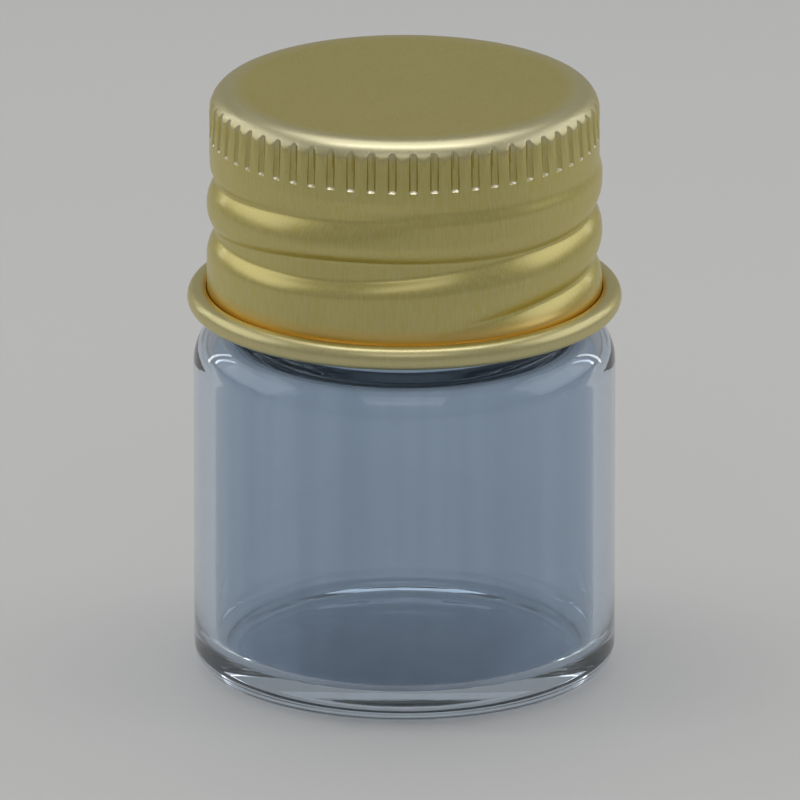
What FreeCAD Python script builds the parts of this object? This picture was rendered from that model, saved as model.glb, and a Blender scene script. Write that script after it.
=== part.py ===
import FreeCAD, Part
import math
import os
import Sketcher
from FreeCAD import Placement, Rotation, Vector

# A small glass sample vial with a drawn aluminium screw cap and a two-ply liner.
# Millimetres, +Z up. The origin is the centre of the ring that the vial stands on, and Z is its axis.
# Angles round the axis are in degrees, anticlockwise from above, and 0 faces -Y.

DRIVING = {
    # Glass: body, base, shoulder and neck
    "body_radius": 11.0,
    "wall": 1.1,
    "heel_radius": 1.2,
    "ring_inner_radius": 9.0,
    "push_up": 0.5,
    "base_centre": 1.85,
    "base_rise": 0.4,
    "base_corner": 1.0,
    "shoulder_start": 16.5,
    "shoulder_radius": 2.3,
    "neck_radius": 9.1,
    "neck_fillet": 0.8,
    "bore_radius": 7.0,
    "bore_corner": 0.6,
    "lip_height": 30.0,
    "lip_round": 0.45,
    # Thread, shared by the glass and the cap
    "pitch": 2.8,
    "groove_zero": 21.6,
    # Ridge on the glass neck
    "neck_band_low": 20.5,
    "neck_band_high": 29.3,
    "thread_height": 0.75,
    "thread_round": 1.1,
    "thread_start": 170.0,
    "thread_end": 640.0,
    "thread_fade": 45.0,
    # Cap: drawn from one sheet
    "sheet": 0.22,
    "skirt_radius": 10.3,
    "curl_radius": 0.62,
    "curl_height": 20.03,
    "curl_end": 120.0,
    "band_radius": 10.15,
    "band_start": 26.9,
    "band_end": 27.7,
    "cap_top": 31.35,
    "cap_corner": 1.2,
    # Rolled groove in the cap's skirt
    "rolled_low": 20.7,
    "rolled_high": 28.3,
    "groove_depth": 0.46,
    "groove_root_round": 0.1,
    "groove_start": 0.0,
    "groove_end": 735.0,
    "groove_fade": 50.0,
    "groove_flat": 0.5,
    "groove_flat_angle": 335.0,
    "groove_flat_spread": 70.0,
    "groove_dip": 0.45,
    "groove_dip_end": 75.0,
    # Knurl: flutes pressed in above a sharp floor
    "flute_count": 58,
    "flute_angle": 2.6,
    "flute_floor": 28.72,
    "flute_root": 9.87,
    "flute_width": 0.7,
    "flute_root_width": 0.26,
    "knurl_bore": 9.68,
    "knurl_taper": 0.3,
    # Liner: thin film under a foam disc
    "liner_radius": 9.05,
    "film": 0.12,
    "foam": 0.95,
}


def profile_sizes(d):
    """Radii and heights of the profiles' corners, worked out from the driving sizes."""
    out = {}
    out["inside_radius"] = d["body_radius"] - d["wall"]
    out["heel_centre"] = d["body_radius"] - d["heel_radius"]
    out["base_inside_radius"] = out["inside_radius"] - d["base_corner"]
    out["base_inside"] = d["base_centre"] - d["base_rise"]
    out["base_wall_start"] = out["base_inside"] + d["base_corner"]
    # A shallow arch of radius (r * r + rise * rise) / (2 * rise) spans r and rises by rise.
    out["push_up_arch"] = (d["ring_inner_radius"] ** 2 + d["push_up"] ** 2) / (2 * d["push_up"])
    out["base_arch"] = (out["base_inside_radius"] ** 2 + d["base_rise"] ** 2) / (2 * d["base_rise"])
    # The shoulder's arc and the neck's fillet meet on the line through their centres.
    shoulder_centre = d["body_radius"] - d["shoulder_radius"]
    out["fillet_centre"] = d["neck_radius"] + d["neck_fillet"]
    across = out["fillet_centre"] - shoulder_centre
    apart = d["shoulder_radius"] + d["neck_fillet"]
    up = math.sqrt(apart**2 - across**2)
    out["shoulder_centre"] = shoulder_centre
    out["fillet_height"] = d["shoulder_start"] + up
    out["meet_radius"] = shoulder_centre + across * d["shoulder_radius"] / apart
    out["meet_height"] = d["shoulder_start"] + up * d["shoulder_radius"] / apart
    out["shoulder_inside_radius"] = out["inside_radius"] - shoulder_centre
    out["shoulder_inside"] = d["shoulder_start"] + out["shoulder_inside_radius"]
    out["bore_corner_radius"] = d["bore_radius"] + d["bore_corner"]
    out["bore_start"] = out["shoulder_inside"] + d["bore_corner"]
    out["lip_outer"] = d["neck_radius"] - d["lip_round"]
    out["lip_inner"] = d["bore_radius"] + d["lip_round"]
    out["lip_side"] = d["lip_height"] - d["lip_round"]
    # Cap
    out["skirt_inside"] = d["skirt_radius"] - d["sheet"]
    out["band_inside"] = d["band_radius"] - d["sheet"]
    out["curl_centre"] = out["skirt_inside"] + d["curl_radius"]
    out["curl_inner"] = d["curl_radius"] - d["sheet"]
    out["curl_outside"] = out["curl_centre"] + d["curl_radius"]
    out["curl_inner_outside"] = out["curl_centre"] + out["curl_inner"]
    out["curl_bottom"] = d["curl_height"] - d["curl_radius"]
    out["curl_inner_bottom"] = d["curl_height"] - out["curl_inner"]
    lean = math.radians(d["curl_end"])
    out["curl_edge_outer_radius"] = out["curl_centre"] + d["curl_radius"] * math.cos(lean)
    out["curl_edge_outer_height"] = d["curl_height"] + d["curl_radius"] * math.sin(lean)
    out["curl_edge_inner_radius"] = out["curl_centre"] + out["curl_inner"] * math.cos(lean)
    out["curl_edge_inner_height"] = d["curl_height"] + out["curl_inner"] * math.sin(lean)
    out["cap_corner_centre"] = d["band_radius"] - d["cap_corner"]
    out["cap_corner_start"] = d["cap_top"] - d["cap_corner"]
    out["cap_inside_top"] = d["cap_top"] - d["sheet"]
    out["knurl_corner"] = d["knurl_bore"] - out["cap_corner_centre"]
    out["knurl_corner_start"] = out["cap_inside_top"] - out["knurl_corner"]
    out["knurl_taper_start"] = d["flute_floor"] - d["knurl_taper"]
    out["foam_floor"] = d["lip_height"] + d["film"]
    return out


SIZES = {**DRIVING, **profile_sizes(DRIVING)}
# The control points that shape a rolled or moulded band: round the axis, and per millimetre of height
BAND_COLUMNS = 96
BAND_ROWS_PER_MM = 12
CUBIC = 3
# The height at each end of a band in which its grooves and ridges die away
BAND_MARGIN = 0.4
# An edge this near to a height, in millimetres, lies at that height
LEVEL = 1e-4
# The measured volume of the knurl may be wrong by up to half a flute
FLUTE_ERROR = 0.5


def fill_sheet(doc):
    """Puts every size in the spreadsheet as a plain number with an alias."""
    sheet = doc.addObject("Spreadsheet::Sheet", "dims")
    for row, (alias, value) in enumerate(SIZES.items(), start=1):
        sheet.set("A%d" % row, alias)
        sheet.set("B%d" % row, repr(float(value)))
        sheet.setAlias("B%d" % row, alias)
    doc.recompute()
    return sheet


# ---- Sketched profiles ---------------------------------------------------------------------------


def origin_plane(body, role):
    return next(f for f in body.Origin.OriginFeatures if f.Role == role)


def new_sketch(body, name, plane):
    sketch = body.newObject("Sketcher::SketchObject", name)
    sketch.AttachmentSupport = [(origin_plane(body, plane), "")]
    sketch.MapMode = "FlatFace"
    return sketch


def size_of(alias):
    return SIZES[alias] if alias else 0.0


def pin_point(sketch, geometry, end, across, up):
    """Holds one end of a line or arc at two named sizes from the axes. None is on the axis."""
    for kind, alias, axis in (("DistanceX", across, -2), ("DistanceY", up, -1)):
        if alias is None:
            sketch.addConstraint(Sketcher.Constraint("PointOnObject", geometry, end, axis))
            continue
        rule = Sketcher.Constraint(kind, -1, 1, geometry, end, SIZES[alias])
        index = sketch.addConstraint(rule)
        sketch.setExpression("Constraints[%d]" % index, "dims." + alias)


def arc_between(start, end, radius, turn):
    """Arc of less than half a circle from start to end. turn is 1 anticlockwise, -1 clockwise."""
    chord = end - start
    half = chord.Length / 2
    lift = math.sqrt(max(radius**2 - half**2, 0.0))
    left = Vector(-chord.y, chord.x, 0).normalize()
    centre = (start + end) / 2 + left * (lift * turn)
    first, last = (start, end) if turn > 0 else (end, start)
    angles = [math.atan2(p.y - centre.y, p.x - centre.x) for p in (first, last)]
    return Part.ArcOfCircle(Part.Circle(centre, Vector(0, 0, 1), radius), angles[0], angles[1])


def draw_profile(sketch, steps):
    """Closed profile of (across, up, arc) corners, where arc describes the side that follows the corner.

    arc is None for a straight side, or (radius, turn) for an arc. Every corner and radius is a named size.
    """
    points = [Vector(size_of(across), size_of(up), 0) for across, up, _ in steps]
    ends = []
    for start, end, (_, _, arc) in zip(points, points[1:] + points[:1], steps):
        if arc is None:
            geometry = sketch.addGeometry(Part.LineSegment(start, end), False)
            ends.append((geometry, 1, 2))
            continue
        radius, turn = arc
        geometry = sketch.addGeometry(arc_between(start, end, SIZES[radius], turn), False)
        ends.append((geometry, 1, 2) if turn > 0 else (geometry, 2, 1))
        index = sketch.addConstraint(Sketcher.Constraint("Radius", geometry, SIZES[radius]))
        sketch.setExpression("Constraints[%d]" % index, "dims." + radius)
    for (geometry, _, last), (following, first, _) in zip(ends, ends[1:] + ends[:1]):
        sketch.addConstraint(Sketcher.Constraint("Coincident", geometry, last, following, first))
    for (geometry, first, _), (across, up, _) in zip(ends, steps):
        pin_point(sketch, geometry, first, across, up)


def turned_body(doc, name, steps):
    """Body made by revolving one profile round the axis."""
    body = doc.addObject("PartDesign::Body", name)
    sketch = new_sketch(body, name + "_profile", "XZ_Plane")
    draw_profile(sketch, steps)
    turn = body.newObject("PartDesign::Revolution", name + "_turn")
    turn.Profile = sketch
    turn.ReferenceAxis = (sketch, ["V_Axis"])
    turn.Angle = 360.0
    doc.recompute()
    return body


# ---- Helical bands -------------------------------------------------------------------------------


def ease(value):
    """0 below 0, 1 above 1, and a smooth curve between."""
    value = min(max(value, 0.0), 1.0)
    return value * value * (3 - 2 * value)


def along_helix(angle, height, centre_zero):
    """Nearest turn of the helix: degrees along it, and how far the height is above it."""
    pitch = SIZES["pitch"]
    turn = round((height - centre_zero) / pitch - angle / 360.0)
    run = angle + 360.0 * turn
    return run, height - centre_zero - pitch * run / 360.0


def fade_in_and_out(run, start, end, fade):
    return ease((run - start) / fade) * ease((end - run) / fade)


def inside_band(height, low, high):
    """1 within the band, easing to 0 at its two ends, so that it leaves as a true circle."""
    return ease((height - low) / BAND_MARGIN) * ease((high - height) / BAND_MARGIN)


def groove_shape(offset, flat):
    """1 in the groove, 0 at the crest between two turns, where the sheet stands in a round bulge."""
    reach = SIZES["pitch"] / 2
    depth = SIZES["groove_depth"]
    bulge_radius = (reach**2 + depth**2) / (2 * depth)
    root = SIZES["groove_root_round"]
    beyond = max(0.0, abs(offset) - flat)
    clear = (math.hypot(beyond, root) - root) / (math.hypot(reach - flat, root) - root)
    across = (1 - clear) * reach
    return (bulge_radius - math.sqrt(bulge_radius**2 - across**2)) / depth


def cap_radius(angle, height):
    """Outside of the cap's skirt from the curl up to the plain band under the knurl."""
    s = SIZES
    neck_in = ease((height - s["band_start"]) / (s["band_end"] - s["band_start"]))
    plain = s["skirt_radius"] + (s["band_radius"] - s["skirt_radius"]) * neck_in
    run, offset = along_helix(angle, height, s["groove_zero"])
    # The groove starts lower than its helix and climbs to it.
    offset += s["groove_dip"] * ease(1 - run / s["groove_dip_end"])
    beside = abs(run - s["groove_flat_angle"]) / s["groove_flat_spread"]
    flat = s["groove_flat"] * ease(1 - beside)
    pressed = fade_in_and_out(run, s["groove_start"], s["groove_end"], s["groove_fade"])
    pressed *= inside_band(height, s["rolled_low"], s["rolled_high"])
    return plain - s["groove_depth"] * pressed * groove_shape(offset, flat)


def cap_inside_radius(angle, height):
    """Inside of the same skirt, one sheet in from its outside."""
    return cap_radius(angle, height) - SIZES["sheet"]


def neck_outside_radius(angle, height):
    """Outside of the glass neck, with its round thread ridge midway between the cap's grooves."""
    s = SIZES
    run, offset = along_helix(angle, height, s["groove_zero"] + s["pitch"] / 2)
    ridge = math.sqrt(max(s["thread_round"] ** 2 - offset**2, 0.0))
    ridge = max(0.0, ridge - s["thread_round"] + s["thread_height"])
    raised = fade_in_and_out(run, s["thread_start"], s["thread_end"], s["thread_fade"])
    raised *= inside_band(height, s["neck_band_low"], s["neck_band_high"])
    return s["neck_radius"] + ridge * raised


def neck_bore_radius(angle, height):
    return SIZES["bore_radius"]


def band_surface(radius_at, low, high):
    """Smooth closed surface round the axis. radius_at(angle, height) gives its radius."""
    rows = round((high - low) * BAND_ROWS_PER_MM)
    step = 2 * math.pi / BAND_COLUMNS
    # A cubic through poles on a circle runs inside them by this much.
    swell = 3 / (2 + math.cos(step))
    knots = list(range(rows - CUBIC + 1))
    held = knots[:1] * CUBIC + knots + knots[-1:] * CUBIC
    heights = []
    for row in range(rows):
        share = sum(held[row + 1 : row + 1 + CUBIC]) / CUBIC / knots[-1]
        heights.append(low + (high - low) * share)
    poles = []
    for column in range(BAND_COLUMNS):
        turn = (column - 1) * step
        outward = Vector(math.cos(turn), math.sin(turn), 0)
        angle = (math.degrees(turn) + 90.0) % 360.0
        poles.append([outward * (swell * radius_at(angle, z)) + Vector(0, 0, z) for z in heights])
    around = list(range(BAND_COLUMNS + 1))
    around_mults = [1] * len(around)
    up_mults = [CUBIC + 1] + [1] * (len(knots) - 2) + [CUBIC + 1]
    surface = Part.BSplineSurface()
    surface.buildFromPolesMultsKnots(
        poles, around_mults, up_mults, around, knots, True, False, CUBIC, CUBIC
    )
    return surface


def end_edge(face, height):
    """The edge of a band's face that lies at one height."""
    boxes = [(edge, edge.BoundBox) for edge in face.Edges]
    return Part.Wire([edge for edge, box in boxes if max(height - box.ZMin, box.ZMax - height) < LEVEL])


def band_solid(doc, name, outside_at, inside_at, low, high):
    """Ring between two band surfaces, closed by a flat face at each end."""
    walls = [band_surface(radius_at, low, high).toShape() for radius_at in (outside_at, inside_at)]
    floors = []
    for height in (low, high):
        wires = [end_edge(wall, height) for wall in walls]
        floors.append(Part.makeFace(wires, "Part::FaceMakerBullseye"))
    shell = Part.makeShell(walls + floors)
    shell.sewShape()
    feature = doc.addObject("Part::Feature", name)
    feature.Shape = Part.makeSolid(shell)
    return feature


# ---- Sub-parts -----------------------------------------------------------------------------------


def make_glass_vial(doc):
    """Body, base, shoulder and neck turned from one profile, with a threaded band and a rounded lip."""
    lower = turned_body(
        doc,
        "glass_body",
        [
            (None, "push_up", ("push_up_arch", -1)),
            ("ring_inner_radius", None, None),
            ("heel_centre", None, ("heel_radius", 1)),
            ("body_radius", "heel_radius", None),
            ("body_radius", "shoulder_start", ("shoulder_radius", 1)),
            ("meet_radius", "meet_height", ("neck_fillet", -1)),
            ("neck_radius", "fillet_height", None),
            ("neck_radius", "neck_band_low", None),
            ("bore_radius", "neck_band_low", None),
            ("bore_radius", "bore_start", ("bore_corner", 1)),
            ("bore_corner_radius", "shoulder_inside", None),
            ("shoulder_centre", "shoulder_inside", ("shoulder_inside_radius", -1)),
            ("inside_radius", "shoulder_start", None),
            ("inside_radius", "base_wall_start", ("base_corner", -1)),
            ("base_inside_radius", "base_inside", ("base_arch", 1)),
            (None, "base_centre", None),
        ],
    )
    lip = turned_body(
        doc,
        "glass_lip",
        [
            ("bore_radius", "neck_band_high", None),
            ("neck_radius", "neck_band_high", None),
            ("neck_radius", "lip_side", ("lip_round", 1)),
            ("lip_outer", "lip_height", None),
            ("lip_inner", "lip_height", ("lip_round", 1)),
            ("bore_radius", "lip_side", None),
        ],
    )
    low, high = SIZES["neck_band_low"], SIZES["neck_band_high"]
    thread = band_solid(doc, "glass_thread", neck_outside_radius, neck_bore_radius, low, high)
    vial = doc.addObject("Part::MultiFuse", "glass_vial")
    vial.Shapes = [lower, thread, lip]
    return vial


def flute_profile(body):
    """Section of one flute, seen from above: it narrows from beyond the cap's side to the flute's root."""
    sketch = new_sketch(body, "flute_profile", "XY_Plane")
    sketch.AttachmentOffset = Placement(Vector(0, 0, SIZES["flute_floor"]), Rotation())
    outside, root = SIZES["skirt_radius"], SIZES["flute_root"]
    mouth_half, root_half = SIZES["flute_width"] / 2, SIZES["flute_root_width"] / 2
    corners = [
        Vector(-mouth_half, -outside),
        Vector(-root_half, -root),
        Vector(root_half, -root),
        Vector(mouth_half, -outside),
    ]
    for start, end in zip(corners, corners[1:] + corners[:1]):
        sketch.addGeometry(Part.LineSegment(start, end), False)
    for side in range(4):
        sketch.addConstraint(Sketcher.Constraint("Coincident", side, 2, (side + 1) % 4, 1))
    # Side 1 is the root and side 3 the mouth. Each is centred on the sketch's upright axis.
    for side in (1, 3):
        sketch.addConstraint(Sketcher.Constraint("Symmetric", side, 1, side, 2, -2))
    named = [
        (Sketcher.Constraint("DistanceX", 1, 1, 1, 2, 2 * root_half), "dims.flute_root_width"),
        (Sketcher.Constraint("DistanceX", 3, 2, 3, 1, 2 * mouth_half), "dims.flute_width"),
        (Sketcher.Constraint("DistanceY", 1, 1, -1, 1, root), "dims.flute_root"),
        (Sketcher.Constraint("DistanceY", 3, 1, -1, 1, outside), "dims.skirt_radius"),
    ]
    for rule, expression in named:
        index = sketch.addConstraint(rule)
        sketch.setExpression("Constraints[%d]" % index, expression)
    sketch.setExpression("AttachmentOffset.Base.z", "dims.flute_floor")
    sketch.setExpression("AttachmentOffset.Rotation.Angle", "dims.flute_angle")
    return sketch


def cut_flutes(doc, body):
    """Presses the knurl's flutes into the cap's side: one flute, repeated round the axis."""
    sketch = flute_profile(body)
    doc.recompute()
    plain_volume = body.Shape.Volume
    flute = body.newObject("PartDesign::Pocket", "flute")
    flute.Profile = sketch
    flute.Type = "ThroughAll"
    flute.Reversed = True
    doc.recompute()
    one_flute = plain_volume - body.Shape.Volume
    ring = body.newObject("PartDesign::PolarPattern", "knurl")
    ring.Originals = [flute]
    ring.Axis = (sketch, ["N_Axis"])
    ring.Angle = 360.0
    ring.Occurrences = SIZES["flute_count"]
    ring.setExpression("Occurrences", "dims.flute_count")
    body.Tip = ring
    doc.recompute()
    all_flutes = plain_volume - body.Shape.Volume
    if one_flute <= 0 or abs(all_flutes / one_flute - SIZES["flute_count"]) > FLUTE_ERROR:
        raise RuntimeError("the knurl's flutes are not all cut")


def make_cap_shell(doc):
    """Knurled top, rolled skirt and outward curl, all one sheet."""
    head = turned_body(
        doc,
        "cap_head",
        [
            ("band_inside", "rolled_high", None),
            ("band_radius", "rolled_high", None),
            ("band_radius", "cap_corner_start", ("cap_corner", 1)),
            ("cap_corner_centre", "cap_top", None),
            (None, "cap_top", None),
            (None, "cap_inside_top", None),
            ("cap_corner_centre", "cap_inside_top", ("knurl_corner", -1)),
            ("knurl_bore", "knurl_corner_start", None),
            ("knurl_bore", "flute_floor", None),
            ("band_inside", "knurl_taper_start", None),
        ],
    )
    cut_flutes(doc, head)
    curl = turned_body(
        doc,
        "cap_curl",
        [
            ("skirt_inside", "rolled_low", None),
            ("skirt_inside", "curl_height", ("curl_radius", 1)),
            ("curl_centre", "curl_bottom", ("curl_radius", 1)),
            ("curl_outside", "curl_height", ("curl_radius", 1)),
            ("curl_edge_outer_radius", "curl_edge_outer_height", None),
            ("curl_edge_inner_radius", "curl_edge_inner_height", ("curl_inner", -1)),
            ("curl_inner_outside", "curl_height", ("curl_inner", -1)),
            ("curl_centre", "curl_inner_bottom", ("curl_inner", -1)),
            ("skirt_radius", "curl_height", None),
            ("skirt_radius", "rolled_low", None),
        ],
    )
    low, high = SIZES["rolled_low"], SIZES["rolled_high"]
    rolled = band_solid(doc, "cap_rolled_thread", cap_radius, cap_inside_radius, low, high)
    cap = doc.addObject("Part::MultiFuse", "cap_shell")
    cap.Shapes = [head, rolled, curl]
    return cap


def make_disc(doc, name, thickness, floor):
    disc = doc.addObject("Part::Cylinder", name)
    disc.setExpression("Radius", "dims.liner_radius")
    disc.setExpression("Height", "dims." + thickness)
    disc.setExpression("Placement.Base.z", "dims." + floor)
    return disc


def make_liner(doc):
    """Film that meets the lip, and the foam disc behind it."""
    facing = make_disc(doc, "liner_facing", "film", "lip_height")
    backing = make_disc(doc, "liner_backing", "foam", "foam_floor")
    return [facing, backing]


def check(doc, parts):
    failed = [o.Name for o in doc.Objects if {"Invalid", "Error"} & set(o.State)]
    if failed:
        raise RuntimeError("failed objects: " + ", ".join(failed))
    for part in parts:
        shape = part.Shape
        if shape.isNull() or not shape.isValid() or len(shape.Solids) != 1:
            raise RuntimeError("bad shape: " + part.Name)


def main():
    doc = FreeCAD.newDocument("sample_vial")
    fill_sheet(doc)
    parts = [make_glass_vial(doc), make_cap_shell(doc)] + make_liner(doc)
    for part in parts:
        part.Label = part.Name
    doc.recompute()
    check(doc, parts)
    os.makedirs("parts", exist_ok=True)
    for part in parts:
        part.Shape.exportStep("parts/%s.step" % part.Label)
        print("%-14s %9.2f mm3" % (part.Label, part.Shape.Volume))


main()
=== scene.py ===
import math

import bmesh
import bpy
import numpy as np
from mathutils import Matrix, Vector


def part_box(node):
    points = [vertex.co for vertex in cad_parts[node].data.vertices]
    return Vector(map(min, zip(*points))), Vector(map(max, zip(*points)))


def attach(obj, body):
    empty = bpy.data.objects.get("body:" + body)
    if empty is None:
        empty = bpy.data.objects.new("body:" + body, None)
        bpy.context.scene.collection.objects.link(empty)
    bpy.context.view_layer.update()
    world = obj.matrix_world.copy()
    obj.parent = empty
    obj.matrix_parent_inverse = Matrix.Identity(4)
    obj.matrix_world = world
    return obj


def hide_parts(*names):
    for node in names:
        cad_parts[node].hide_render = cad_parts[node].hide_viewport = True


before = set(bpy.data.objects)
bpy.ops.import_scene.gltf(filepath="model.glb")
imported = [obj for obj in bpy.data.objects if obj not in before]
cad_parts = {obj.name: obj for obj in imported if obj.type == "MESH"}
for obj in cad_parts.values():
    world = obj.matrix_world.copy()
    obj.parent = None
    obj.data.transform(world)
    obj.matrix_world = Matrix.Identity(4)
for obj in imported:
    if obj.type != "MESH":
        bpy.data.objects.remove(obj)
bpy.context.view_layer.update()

# Lengths in this script are millimetres until a mesh, a light, a material or the camera is made.
# MM turns them into metres.
# Angles round the axis are in degrees, anticlockwise from above, and 0 faces -Y, the front.
MM = 0.001

# ---- Sizes, from the frame where it holds them ---------------------------------------------------

film_low, film_high = (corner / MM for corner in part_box("liner_facing"))
foam_low, foam_high = (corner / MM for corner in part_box("liner_backing"))

LIP_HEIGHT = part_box("glass_vial")[1].z / MM
CAP_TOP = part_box("cap_shell")[1].z / MM

BODY_RADIUS = 11.0
WALL = 1.1
HEEL_RADIUS = 1.2
RING_INNER_RADIUS = 9.0
PUSH_UP = 0.5
BASE_CENTRE = 1.85
BASE_RISE = 0.4
BASE_CORNER = 1.0
SHOULDER_START = 16.5
SHOULDER_RADIUS = 2.3
NECK_RADIUS = 9.1
NECK_FILLET = 0.8
BORE_RADIUS = 7.0
BORE_CORNER = 0.6
LIP_ROUND = 0.45
NECK_BAND = (20.5, 29.3)
# How far inside its band of heights a thread or groove reaches its full depth
BAND_MARGIN = 0.4

PITCH = 2.8
GROOVE_ZERO = 21.6
THREAD_HEIGHT = 0.75
THREAD_ROUND = 1.1
THREAD_RUN = (170.0, 640.0)
THREAD_FADE = 45.0

SHEET = 0.22
SKIRT_RADIUS = 10.3
CURL_RADIUS = 0.62
CURL_HEIGHT = 20.03
CURL_END = 120.0
BAND_RADIUS = 10.15
BAND_RISE = (26.9, 27.7)
CAP_CORNER = 1.2
ROLLED_BAND = (20.7, 28.3)
GROOVE_DEPTH = 0.46
GROOVE_ROOT_ROUND = 0.1
GROOVE_RUN = (0.0, 735.0)
GROOVE_FADE = 50.0
GROOVE_FLAT = 0.5
GROOVE_FLAT_ANGLE = 335.0
GROOVE_FLAT_SPREAD = 70.0
GROOVE_DIP = 0.45
GROOVE_DIP_END = 75.0
FLUTES = 58
FLUTE_ANGLE = 2.6
FLUTE_FLOOR = 28.72
# Each flute is two broad facets that fade out towards the floor, with a hollow channel between them.
# Widths are shares of the flutes' spacing, from the flute's middle.
CHANNEL_FLOOR_DEPTH = 0.17
CHANNEL_TOP_DEPTH = 0.10
CHANNEL_REACH = 0.2
LEDGE_HEIGHT = 0.1
FACET_DEPTH = 0.16
FACET_REACH = 0.5
FACET_FADE = (28.75, 30.4)
# Where the columns of the cap's mesh stand within one flute
FLUTE_COLUMNS = (-0.5, -0.35, -0.205, -0.195, -0.165, -0.1, 0.0, 0.1, 0.165, 0.195, 0.205, 0.35)

FILM_EDGE_ROUND = 0.04
FOAM_EDGE_ROUND = 0.18
# The ring that the lip prints into the film: its depth, how far it stays inside the lip's own edges, and the
# width over which each side of it fades
PRINT_DEPTH = 0.03
PRINT_MARGIN = 0.2
PRINT_FADE = 0.3

GLASS_COLUMNS = 256
DISC_COLUMNS = 192
ROW_STEP = 0.1
# Edges that turn by more than this, in degrees, are shaded sharp
SHARP_TURN = 38


# ---- Shapes --------------------------------------------------------------------------------------


def ease(value):
    """0 below 0, 1 above 1, and a smooth curve between."""
    value = np.clip(value, 0.0, 1.0)
    return value * value * (3 - 2 * value)


def along_helix(angle, height, centre_zero):
    """Nearest turn of the helix: degrees along it, and how far the height is above it."""
    turn = np.round((height - centre_zero) / PITCH - angle / 360)
    run = angle + 360 * turn
    return run, height - centre_zero - PITCH * run / 360


def within(value, span, margin):
    """1 inside the span, easing to 0 at its two ends."""
    return ease((value - span[0]) / margin) * ease((span[1] - value) / margin)


def cap_radius(angle, height):
    """Outside of the skirt, with the groove that was rolled in over the glass thread."""
    narrowed = ease((height - BAND_RISE[0]) / (BAND_RISE[1] - BAND_RISE[0]))
    plain = SKIRT_RADIUS + (BAND_RADIUS - SKIRT_RADIUS) * narrowed
    run, offset = along_helix(angle, height, GROOVE_ZERO)
    # The groove starts lower than its helix and climbs to it.
    offset = offset + GROOVE_DIP * ease(1 - run / GROOVE_DIP_END)
    flat = GROOVE_FLAT * ease(1 - abs(run - GROOVE_FLAT_ANGLE) / GROOVE_FLAT_SPREAD)
    reach = PITCH / 2
    bulge = (reach**2 + GROOVE_DEPTH**2) / (2 * GROOVE_DEPTH)
    beyond = np.maximum(0, abs(offset) - flat)
    furthest = np.hypot(reach - flat, GROOVE_ROOT_ROUND) - GROOVE_ROOT_ROUND
    clear = (np.hypot(beyond, GROOVE_ROOT_ROUND) - GROOVE_ROOT_ROUND) / furthest
    shape = bulge - np.sqrt(bulge**2 - ((1 - clear) * reach) ** 2)
    return plain - shape * within(run, GROOVE_RUN, GROOVE_FADE) * within(height, ROLLED_BAND, BAND_MARGIN)


def neck_radius(angle, height):
    """Outside of the glass neck, with its round thread ridge."""
    run, offset = along_helix(angle, height, GROOVE_ZERO + PITCH / 2)
    ridge = np.sqrt(np.maximum(THREAD_ROUND**2 - offset**2, 0)) - THREAD_ROUND + THREAD_HEIGHT
    raised = within(run, THREAD_RUN, THREAD_FADE) * within(height, NECK_BAND, BAND_MARGIN)
    return NECK_RADIUS + np.maximum(ridge, 0) * raised


def flute_cut(angle, height):
    """How deep the knurl is pressed in at an angle and a height, with a sloping ledge at its floor."""
    share = (angle - FLUTE_ANGLE) * FLUTES / 360
    beside = abs(share - np.round(share))
    rise = ease((height - FACET_FADE[0]) / (FACET_FADE[1] - FACET_FADE[0]))
    depth = CHANNEL_FLOOR_DEPTH + (CHANNEL_TOP_DEPTH - CHANNEL_FLOOR_DEPTH) * rise
    hollow = np.sqrt(np.maximum(0, 1 - (beside / CHANNEL_REACH) ** 2))
    ledge = np.clip((height - FLUTE_FLOOR) / LEDGE_HEIGHT, 0, 1)
    facet = FACET_DEPTH * np.maximum(0, 1 - beside / FACET_REACH) * rise
    return depth * hollow * ledge + facet


def arc(centre, radius, start, end, steps):
    """Points (r, z) along an arc, angles in degrees from outward, without its first point."""
    turns = np.radians(np.linspace(start, end, steps + 1)[1:])
    return [(centre[0] + radius * math.cos(t), centre[1] + radius * math.sin(t)) for t in turns]


def line(start, end, steps):
    """Points (r, z) along a straight side, without its first point."""
    shares = np.linspace(0, 1, steps + 1)[1:]
    return [(start[0] + (end[0] - start[0]) * k, start[1] + (end[1] - start[1]) * k) for k in shares]


def turned_rows(points, angles):
    """The same (r, z) at every angle, one row a point."""
    return [(np.full(len(angles), r), np.full(len(angles), z)) for r, z in points]


def shaped_rows(radius_at, heights, angles):
    """One row a height, with the radius that radius_at gives at each angle."""
    return [(radius_at(angles, z), np.full(len(angles), z)) for z in heights]


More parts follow.
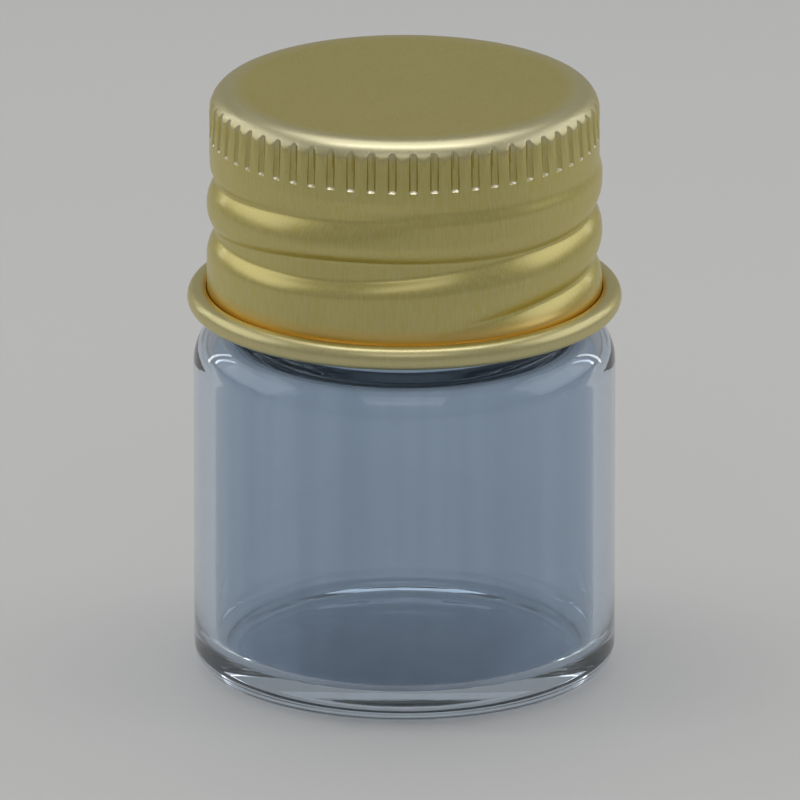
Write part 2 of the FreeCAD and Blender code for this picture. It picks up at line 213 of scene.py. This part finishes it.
def mesh_from_rows(name, rows, angles, top_pole, end_pole, inner_from=None):
    """Closed mesh: a pole, the rows, and a pole, joined by quads and two fans.

    Faces from the row inner_from onwards take the piece's second material.
    """
    count = len(angles)
    across = np.sin(np.radians(angles))
    along = -np.cos(np.radians(angles))
    points = [(0.0, 0.0, top_pole)]
    for radii, heights in rows:
        points.extend(zip(radii * across, radii * along, heights))
    points.append((0.0, 0.0, end_pole))
    faces = []
    inner = []
    last_row = len(rows) - 1
    for i in range(count):
        j = (i + 1) % count
        faces.append((0, 1 + j, 1 + i))
        inner.append(False)
        for row in range(last_row):
            low = 1 + row * count
            faces.append((low + i, low + j, low + count + j, low + count + i))
            inner.append(inner_from is not None and row >= inner_from)
        last = 1 + last_row * count
        faces.append((last + i, last + j, len(points) - 1))
        inner.append(inner_from is not None)
    mesh = bpy.data.meshes.new(name)
    mesh.from_pydata([tuple(float(c) * MM for c in p) for p in points], [], faces)
    mesh.polygons.foreach_set("material_index", np.array(inner, dtype=np.int32))
    work = bmesh.new()
    work.from_mesh(mesh)
    bmesh.ops.recalc_face_normals(work, faces=work.faces)
    work.to_mesh(mesh)
    work.free()
    mesh.polygons.foreach_set("use_smooth", [True] * len(mesh.polygons))
    mesh.set_sharp_from_angle(angle=math.radians(SHARP_TURN))
    mesh.update()
    piece = bpy.data.objects.new(name, mesh)
    bpy.context.scene.collection.objects.link(piece)
    return piece


def arch_rows(radius, centre_height, edge_height, steps):
    """Points (r, z) of a shallow dome from its centre outwards, without the centre."""
    rise = centre_height - edge_height
    dome = (radius**2 + rise**2) / (2 * rise)
    radii = np.linspace(0, radius, steps + 1)[1:]
    return [(r, centre_height - dome + math.sqrt(dome**2 - r * r)) for r in radii]


def glass_rows(angles):
    inside = BODY_RADIUS - WALL
    shoulder = BODY_RADIUS - SHOULDER_RADIUS
    fillet = NECK_RADIUS + NECK_FILLET
    apart = SHOULDER_RADIUS + NECK_FILLET
    lean = math.degrees(math.acos((fillet - shoulder) / apart))
    fillet_height = SHOULDER_START + apart * math.sin(math.radians(lean))
    inner_shoulder = inside - shoulder
    base_edge = BASE_CENTRE - BASE_RISE
    lip_side = LIP_HEIGHT - LIP_ROUND

    outer = arch_rows(RING_INNER_RADIUS, PUSH_UP, 0.0, 24)
    outer += line((RING_INNER_RADIUS, 0), (BODY_RADIUS - HEEL_RADIUS, 0), 3)
    outer += arc((BODY_RADIUS - HEEL_RADIUS, HEEL_RADIUS), HEEL_RADIUS, -90, 0, 20)
    outer += line((BODY_RADIUS, HEEL_RADIUS), (BODY_RADIUS, SHOULDER_START), 24)
    outer += arc((shoulder, SHOULDER_START), SHOULDER_RADIUS, 0, lean, 22)
    outer += arc((fillet, fillet_height), NECK_FILLET, 180 + lean, 180, 10)
    outer += line((NECK_RADIUS, fillet_height), (NECK_RADIUS, NECK_BAND[0]), 3)
    thread = np.arange(NECK_BAND[0] + ROW_STEP, NECK_BAND[1], ROW_STEP)
    inner = [(NECK_RADIUS, NECK_BAND[1])]
    inner += arc((NECK_RADIUS - LIP_ROUND, lip_side), LIP_ROUND, 0, 90, 10)
    inner += line((NECK_RADIUS - LIP_ROUND, LIP_HEIGHT), (BORE_RADIUS + LIP_ROUND, LIP_HEIGHT), 6)
    inner += arc((BORE_RADIUS + LIP_ROUND, lip_side), LIP_ROUND, 90, 180, 10)
    bore_start = SHOULDER_START + inner_shoulder + BORE_CORNER
    inner += line((BORE_RADIUS, lip_side), (BORE_RADIUS, bore_start), 24)
    inner += arc((BORE_RADIUS + BORE_CORNER, bore_start), BORE_CORNER, 180, 270, 10)
    ceiling = bore_start - BORE_CORNER
    inner += line((BORE_RADIUS + BORE_CORNER, ceiling), (shoulder, ceiling), 4)
    inner += arc((shoulder, SHOULDER_START), inner_shoulder, 90, 0, 16)
    inner += line((inside, SHOULDER_START), (inside, base_edge + BASE_CORNER), 24)
    inner += arc((inside - BASE_CORNER, base_edge + BASE_CORNER), BASE_CORNER, 0, -90, 14)
    inner += arch_rows(inside - BASE_CORNER, BASE_CENTRE, base_edge, 24)[-2::-1]
    return turned_rows(outer, angles) + shaped_rows(neck_radius, thread, angles) + turned_rows(inner, angles)


def cap_wall_rows(angles, inset):
    """The top, the rounded and fluted corner, the knurl and the rolled skirt, inset from the outside."""
    centre = BAND_RADIUS - CAP_CORNER
    corner_height = CAP_TOP - CAP_CORNER
    side = BAND_RADIUS - inset
    rows = turned_rows(line((0, CAP_TOP - inset), (centre, CAP_TOP - inset), 10), angles)
    for r, z in arc((centre, corner_height), CAP_CORNER - inset, 90, 0, 30):
        rows.append((np.minimum(r, side - flute_cut(angles, z)), np.full(len(angles), z)))
    ledge_top = FLUTE_FLOOR + LEDGE_HEIGHT
    channels = np.linspace(corner_height, ledge_top, 12)[1:]
    bare_ledges_and_glints = np.linspace(ledge_top, FLUTE_FLOOR, 4)[1:]
    fluted = [*channels, *bare_ledges_and_glints]
    rows += shaped_rows(lambda a, z: side - flute_cut(a, z), fluted, angles)
    rows += turned_rows(line((side, FLUTE_FLOOR), (side, ROLLED_BAND[1]), 3), angles)
    heights = np.arange(ROLLED_BAND[1] - ROW_STEP, ROLLED_BAND[0], -ROW_STEP)
    return rows + shaped_rows(lambda a, z: cap_radius(a, z) - inset, heights, angles)


def curl_points():
    """Section of the rim: down the skirt's outside, round the inside of the curl to its edge, and back."""
    skirt_inside = SKIRT_RADIUS - SHEET
    centre = (skirt_inside + CURL_RADIUS, CURL_HEIGHT)
    inner = CURL_RADIUS - SHEET
    tip_turn = math.radians(CURL_END)
    middle = CURL_RADIUS - SHEET / 2
    tip = (centre[0] + middle * math.cos(tip_turn), centre[1] + middle * math.sin(tip_turn))
    points = [(SKIRT_RADIUS, ROLLED_BAND[0])]
    points += line((SKIRT_RADIUS, ROLLED_BAND[0]), (SKIRT_RADIUS, CURL_HEIGHT), 4)
    points += arc(centre, inner, -180, CURL_END, 40)
    points += arc(tip, SHEET / 2, CURL_END + 180, CURL_END, 6)[:-1]
    points += arc(centre, CURL_RADIUS, CURL_END, -180, 48)
    points += line((skirt_inside, CURL_HEIGHT), (skirt_inside, ROLLED_BAND[0]), 4)
    return points


def make_glass():
    angles = np.linspace(0, 360, GLASS_COLUMNS, endpoint=False)
    piece = mesh_from_rows("vial_glass", glass_rows(angles), angles, PUSH_UP, BASE_CENTRE)
    piece.data.materials.append(glass_material())
    # Soft light goes through clear glass, which a renderer's shadow rays can't follow.
    piece.visible_shadow = False
    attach(piece, "vial")
    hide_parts("glass_vial")


def make_cap():
    spots = [(flute + share) / FLUTES for flute in range(FLUTES) for share in FLUTE_COLUMNS]
    angles = np.array(spots) * 360 + FLUTE_ANGLE
    outside = cap_wall_rows(angles, 0.0) + turned_rows(curl_points(), angles)
    inside = cap_wall_rows(angles, SHEET)[::-1]
    inside_from = len(outside) - 2
    piece = mesh_from_rows("cap_sheet", outside + inside, angles, CAP_TOP, CAP_TOP - SHEET, inside_from)
    piece.data.materials.append(cap_material())
    piece.data.materials.append(cap_inside_material())
    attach(piece, "cap")
    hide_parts("cap_shell")


def disc_rows(radius, low, high, edge, angles, pressed=None):
    """A disc with rounded edges. pressed is (inner, outer, depth) of a ring printed into its underside."""
    points = []
    for r in np.linspace(0, radius - edge, 41)[1:]:
        lift = 0.0
        if pressed:
            inner, outer, depth = pressed
            lift = depth * float(within(r, (inner, outer), PRINT_FADE))
        points.append((r, low + lift))
    points += arc((radius - edge, low + edge), edge, -90, 0, 6)
    points += line((radius, low + edge), (radius, high - edge), 4)
    points += arc((radius - edge, high - edge), edge, 0, 90, 6)
    points += line((radius - edge, high), (0, high), 20)[:-1]
    return turned_rows(points, angles)


def make_liner():
    angles = np.linspace(0, 360, DISC_COLUMNS, endpoint=False)
    print_ring = (BORE_RADIUS + PRINT_MARGIN, NECK_RADIUS - PRINT_MARGIN, PRINT_DEPTH)
    film_rows = disc_rows(film_high.x, film_low.z, film_high.z, FILM_EDGE_ROUND, angles, print_ring)
    film = mesh_from_rows("liner_film", film_rows, angles, film_low.z, film_high.z)
    film.data.materials.append(film_material())
    foam_rows = disc_rows(foam_high.x, foam_low.z, foam_high.z, FOAM_EDGE_ROUND, angles)
    foam = mesh_from_rows("liner_foam", foam_rows, angles, foam_low.z, foam_high.z)
    foam.data.materials.append(foam_material())
    for piece, node, slot in ((film, "liner_facing", "liner_film"), (foam, "liner_backing", "liner_foam")):
        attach(piece, "liner")
        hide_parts(node)


# ---- Materials -----------------------------------------------------------------------------------


class Nodes:
    """A material's node tree, with short calls to add and join nodes."""

    def __init__(self, name):
        self.material = bpy.data.materials.new(name)
        self.material.use_nodes = True
        self.tree = self.material.node_tree
        self.shader = self.tree.nodes["Principled BSDF"]

    def add(self, kind, **settings):
        node = self.tree.nodes.new("ShaderNode" + kind)
        for key, value in settings.items():
            setattr(node, key, value)
        return node

    def join(self, source, target):
        self.tree.links.new(source, target)

    def set(self, **values):
        for key, value in values.items():
            self.shader.inputs[key.replace("_", " ")].default_value = value

    def noise(self, scale, detail=3.0, roughness=0.5):
        """Noise on the piece's own metres, squashed or stretched by a scale per axis."""
        place = self.add("TexCoord")
        mapping = self.add("Mapping")
        mapping.inputs["Scale"].default_value = scale
        noise = self.add("TexNoise")
        noise.inputs["Scale"].default_value = 1.0
        noise.inputs["Detail"].default_value = detail
        noise.inputs["Roughness"].default_value = roughness
        self.join(place.outputs["Object"], mapping.inputs["Vector"])
        self.join(mapping.outputs["Vector"], noise.inputs["Vector"])
        return noise.outputs["Fac"]

    def ramp(self, source, low, high, start, end):
        """source from low to high, mapped to start to end."""
        node = self.add("MapRange")
        node.inputs["From Min"].default_value = low
        node.inputs["From Max"].default_value = high
        node.inputs["To Min"].default_value = start
        node.inputs["To Max"].default_value = end
        self.join(source, node.inputs["Value"])
        return node.outputs["Result"]

    def region(self, share, *edges):
        """share where every edge is full. An edge is a source of lengths, and (start, full) millimetres."""
        source, (start, full) = edges[0]
        inside = self.ramp(source, start * MM, full * MM, 0.0, share)
        for source, (start, full) in edges[1:]:
            inside = self.multiply(inside, self.ramp(source, start * MM, full * MM, 0.0, 1.0))
        return inside

    def mix(self, factor, first, second):
        node = self.add("Mix", data_type="RGBA")
        node.inputs["A"].default_value = first
        node.inputs["B"].default_value = second
        self.join(factor, node.inputs["Factor"])
        return node.outputs["Result"]

    def mix_colours(self, factor, first, second):
        """first is another node's colour, second a plain one."""
        node = self.add("Mix", data_type="RGBA")
        node.inputs["B"].default_value = second
        self.join(first, node.inputs["A"])
        self.join(factor, node.inputs["Factor"])
        return node.outputs["Result"]

    def multiply(self, first, second):
        node = self.add("Math", operation="MULTIPLY")
        self.join(first, node.inputs[0])
        self.join(second, node.inputs[1])
        return node.outputs["Value"]

    def height(self):
        parts = self.add("SeparateXYZ")
        self.join(self.add("TexCoord").outputs["Object"], parts.inputs["Vector"])
        return parts.outputs["Z"]

    def distance_from_axis(self):
        flat = self.add("VectorMath", operation="MULTIPLY")
        flat.inputs[1].default_value = (1, 1, 0)
        length = self.add("VectorMath", operation="LENGTH")
        self.join(self.add("TexCoord").outputs["Object"], flat.inputs[0])
        self.join(flat.outputs["Vector"], length.inputs[0])
        return length.outputs["Value"]

    def bump(self, source, strength, depth):
        """Bumps of a depth in millimetres."""
        node = self.add("Bump")
        node.inputs["Strength"].default_value = strength
        node.inputs["Distance"].default_value = depth * MM
        self.join(source, node.inputs["Height"])
        return node.outputs["Normal"]


# Where the gold changes, and how much. Each pair is a height, or a distance from the axis, where the change
# starts and where it is full.
# Painted highlight, partly wear: the gold's rounded corner is painted paler where its highlight falls.
CORNER_WEAR_AND_HIGHLIGHT = 0.6
CORNER_WEAR_AND_HIGHLIGHT_HEIGHTS = (CAP_TOP - 1.05, CAP_TOP - 0.5)
CORNER_WEAR_AND_HIGHLIGHT_RADII = (BAND_RADIUS - CAP_CORNER - 0.6, BAND_RADIUS - CAP_CORNER + 0.2)
# Painted highlight, partly wear: the rim of the curl is painted paler where its highlight falls.
RIM_WEAR_AND_HIGHLIGHT = 0.3
RIM_WEAR_AND_HIGHLIGHT_RADII = (SKIRT_RADIUS + 0.2, SKIRT_RADIUS + 0.4)
# Painted glint, partly bare metal: the knurl's ledges are painted near white.
LEDGE_BARE_AND_GLINT = 0.9
LEDGE_ABOVE = (FLUTE_FLOOR + LEDGE_HEIGHT + 0.04, FLUTE_FLOOR + LEDGE_HEIGHT)
LEDGE_BELOW = (FLUTE_FLOOR - 0.02, FLUTE_FLOOR)
LEDGE_RADII = (BAND_RADIUS - 0.01, BAND_RADIUS - 0.03)
# Painted glow: light bounced between the skirt and the curl, painted as deeper orange gold above the curl.
PAINTED_GLOW = 1.0
PAINTED_GLOW_HEIGHTS = (ROLLED_BAND[0] + 0.75, CURL_HEIGHT + 0.6)
PAINTED_GLOW_RADII = (SKIRT_RADIUS + 0.3, SKIRT_RADIUS)

# Colours as red, green, blue and alpha, in linear light
GLASS_DARKER = (0.56, 0.65, 0.75, 1)
GLASS_LIGHTER = (0.64, 0.73, 0.83, 1)
GOLD_DARKER = (0.49, 0.415, 0.085, 1)
GOLD_LIGHTER = (0.53, 0.455, 0.105, 1)
GOLD_GRAIN = (0.68, 0.62, 0.32, 1)
# Paler gold for wear and for the painted highlights on the corner and the rim
GOLD_WORN_AND_HIGHLIGHT = (0.58, 0.55, 0.42, 1)
# Orange gold for the painted glow of bounced light above the curl
GOLD_PAINTED_GLOW = (0.70, 0.435, 0.065, 1)
GOLD_EDGE_ON = (0.95, 0.88, 0.5, 1)
# Near white for bare metal and for the painted glint on the knurl's ledges
BARE_METAL_AND_GLINT = (0.92, 0.90, 0.78, 1)
LACQUER_DARKER = (0.72, 0.70, 0.60, 1)
LACQUER_LIGHTER = (0.80, 0.78, 0.69, 1)
FOAM_DARKER = (0.80, 0.79, 0.75, 1)
FOAM_LIGHTER = (0.88, 0.87, 0.84, 1)
FILM_DARKER = (0.84, 0.84, 0.83, 1)
FILM_LIGHTER = (0.90, 0.90, 0.89, 1)
FLOOR_DARKER = (0.60, 0.60, 0.60, 1)
FLOOR_LIGHTER = (0.62, 0.62, 0.62, 1)


def glass_material():
    """Clear glass with the faint vertical draw lines and streaks of tube glass."""
    n = Nodes("clear_glass")
    n.set(Roughness=0.0, IOR=1.5, Transmission_Weight=1.0)
    draw_lines = n.noise((420, 420, 14), detail=2.0)
    streaks = n.ramp(draw_lines, low=0.35, high=0.65, start=0.0, end=1.0)
    n.join(n.mix(streaks, GLASS_DARKER, GLASS_LIGHTER), n.shader.inputs["Base Color"])
    n.join(n.bump(draw_lines, strength=0.12, depth=0.03), n.shader.inputs["Normal"])
    return n.material


def cap_material():
    """Satin gold anodised aluminium with a fine grain up the skirt.

    It is painted paler on the corner and the rim, partly wear and partly a painted highlight, and near white
    on the knurl's ledges, partly bare metal and partly a painted glint. It is painted deeper orange above the
    curl, a painted glow of light bounced between the skirt and the curl.
    """
    n = Nodes("gold_aluminium")
    n.set(Metallic=1.0, Specular_Tint=GOLD_EDGE_ON, Coat_Weight=0.6, Coat_Roughness=0.22, Coat_IOR=2.0)
    grain = n.noise((9000, 9000, 1000), detail=4.0, roughness=0.7)
    cloud = n.noise((300, 300, 300))
    tint = n.mix(cloud, GOLD_DARKER, GOLD_LIGHTER)
    colour = n.mix_colours(n.ramp(grain, low=0.35, high=0.7, start=0.0, end=0.45), tint, GOLD_GRAIN)
    high = n.height()
    away = n.distance_from_axis()
    # The corner and the rim are painted paler: partly wear, partly a painted highlight.
    corner = n.region(CORNER_WEAR_AND_HIGHLIGHT, (high, CORNER_WEAR_AND_HIGHLIGHT_HEIGHTS), (away, CORNER_WEAR_AND_HIGHLIGHT_RADII))
    rim = n.region(RIM_WEAR_AND_HIGHLIGHT, (away, RIM_WEAR_AND_HIGHLIGHT_RADII))
    for worn_and_highlight in (corner, rim):
        colour = n.mix_colours(worn_and_highlight, colour, GOLD_WORN_AND_HIGHLIGHT)
    # The knurl's ledges are painted near white: partly bare metal, partly a painted glint.
    bare_ledges_and_glints = n.region(LEDGE_BARE_AND_GLINT, (high, LEDGE_ABOVE), (high, LEDGE_BELOW), (away, LEDGE_RADII))
    colour = n.mix_colours(bare_ledges_and_glints, colour, BARE_METAL_AND_GLINT)
    # Painted glow: the skirt above the curl is painted deeper orange, for light bounced between skirt and
    # curl.
    painted_glow = n.region(PAINTED_GLOW, (high, PAINTED_GLOW_HEIGHTS), (away, PAINTED_GLOW_RADII))
    colour = n.mix_colours(painted_glow, colour, GOLD_PAINTED_GLOW)
    n.join(colour, n.shader.inputs["Base Color"])
    n.join(n.ramp(grain, low=0.3, high=0.7, start=0.31, end=0.46), n.shader.inputs["Roughness"])
    n.join(n.bump(grain, strength=0.3, depth=0.004), n.shader.inputs["Normal"])
    return n.material


def cap_inside_material():
    """The inside of the sheet: pale, dull lacquer over bare aluminium."""
    n = Nodes("cap_inside_lacquer")
    n.set(Metallic=0.25)
    cloud = n.noise((500, 500, 500))
    n.join(n.mix(cloud, LACQUER_DARKER, LACQUER_LIGHTER), n.shader.inputs["Base Color"])
    n.join(n.ramp(cloud, low=0.3, high=0.7, start=0.42, end=0.55), n.shader.inputs["Roughness"])
    n.join(n.bump(cloud, strength=0.1, depth=0.02), n.shader.inputs["Normal"])
    return n.material


def foam_material():
    """White closed-cell foam."""
    n = Nodes("liner_foam")
    n.set(Roughness=0.75, Subsurface_Weight=0.1)
    cells = n.add("TexVoronoi")
    cells.inputs["Scale"].default_value = 5200
    place = n.add("TexCoord")
    n.join(place.outputs["Object"], cells.inputs["Vector"])
    cloud = n.noise((700, 700, 700))
    n.join(n.mix(cloud, FOAM_DARKER, FOAM_LIGHTER), n.shader.inputs["Base Color"])
    n.join(n.bump(cells.outputs["Distance"], strength=0.4, depth=0.03), n.shader.inputs["Normal"])
    return n.material


def film_material():
    """Smooth white film, slightly crinkled."""
    n = Nodes("liner_film")
    n.set(Specular_IOR_Level=0.6)
    crinkle = n.noise((350, 350, 350), detail=4.0)
    n.join(n.mix(crinkle, FILM_DARKER, FILM_LIGHTER), n.shader.inputs["Base Color"])
    n.join(n.ramp(crinkle, low=0.3, high=0.7, start=0.2, end=0.32), n.shader.inputs["Roughness"])
    n.join(n.bump(crinkle, strength=0.15, depth=0.03), n.shader.inputs["Normal"])
    return n.material


def floor_material():
    n = Nodes("pale_floor")
    n.set(Roughness=0.55)
    n.join(n.mix(n.noise((9, 9, 9)), FLOOR_DARKER, FLOOR_LIGHTER), n.shader.inputs["Base Color"])
    return n.material


# ---- Stage, lights and camera --------------------------------------------------------------------

MIDDLE = Vector((0, 0, 14.24))
CAMERA_AIM = Vector((-0.235, 0, 14.24))
CAMERA_DISTANCE = 1200.0
CAMERA_RISE = 18.2
CAMERA_LENS = 1035.0
SENSOR = 36.0
# The glass stands on a hair's breadth of air, so that its underside and the floor don't share one plane
FLOOR_GAP = 0.03
FLOOR_HALF = 1500.0
ROOM_COLOUR = (1.0, 0.99, 0.97, 1)
ROOM_STRENGTH = 0.33
# Each lamp's name, place, size and power in watts. All of them face the middle of the vial.
LAMPS = (
    ("overhead", (0, 50, 295), (280, 240), 0.23),
    ("overhead_strip", (0, 0, 310), (240, 10), 0.085),
    ("left_side", (-250, 50, 150), (260, 180), 0.115),
    ("right_side", (250, 50, 150), (260, 180), 0.12),
    ("left_edge", (-215, 205, 110), (12, 170), 0.03),
    ("right_edge", (215, 205, 110), (12, 170), 0.03),
    ("front_fill", (0, -330, 330), (320, 160), 0.12),
)


def make_floor():
    mesh = bpy.data.meshes.new("floor")
    half = FLOOR_HALF * MM
    top = -FLOOR_GAP * MM
    corners = [(-half, -half, top), (half, -half, top), (half, half, top), (-half, half, top)]
    mesh.from_pydata(corners, [], [(0, 1, 2, 3)])
    floor = bpy.data.objects.new("floor", mesh)
    bpy.context.scene.collection.objects.link(floor)
    mesh.materials.append(floor_material())


def aim(thing, target):
    thing.rotation_euler = (target * MM - thing.location).to_track_quat("-Z", "Y").to_euler()


def softbox(name, place, size, power):
    light = bpy.data.lights.new(name, "AREA")
    light.shape = "RECTANGLE"
    light.size = size[0] * MM
    light.size_y = size[1] * MM
    light.energy = power
    lamp = bpy.data.objects.new(name, light)
    bpy.context.scene.collection.objects.link(lamp)
    lamp.location = Vector(place) * MM
    aim(lamp, MIDDLE)


def make_lights():
    world = bpy.data.worlds.new("soft_room")
    world.use_nodes = True
    background = world.node_tree.nodes["Background"]
    background.inputs["Color"].default_value = ROOM_COLOUR
    background.inputs["Strength"].default_value = ROOM_STRENGTH
    bpy.context.scene.world = world
    for name, place, size, power in LAMPS:
        softbox(name, place, size, power)


def make_camera():
    camera = bpy.data.objects.new("photo_view", bpy.data.cameras.new("photo_view"))
    bpy.context.scene.collection.objects.link(camera)
    rise = math.radians(CAMERA_RISE)
    away = Vector((0, -math.cos(rise), math.sin(rise))) * CAMERA_DISTANCE
    camera.location = (CAMERA_AIM + away) * MM
    aim(camera, CAMERA_AIM)
    camera.data.sensor_width = SENSOR
    camera.data.lens = CAMERA_LENS
    camera.data.clip_start = 0.01
    camera.data.clip_end = 20
    bpy.context.scene.camera = camera


make_camera()
make_floor()
make_lights()
make_glass()
make_cap()
make_liner()
bpy.context.scene.view_settings.view_transform = "Standard"
# Light that is trapped in the glass wall needs many bounces before it comes out again.
bounces = bpy.context.scene.cycles
bounces.max_bounces = 32
bounces.glossy_bounces = 24
bounces.transmission_bounces = 32
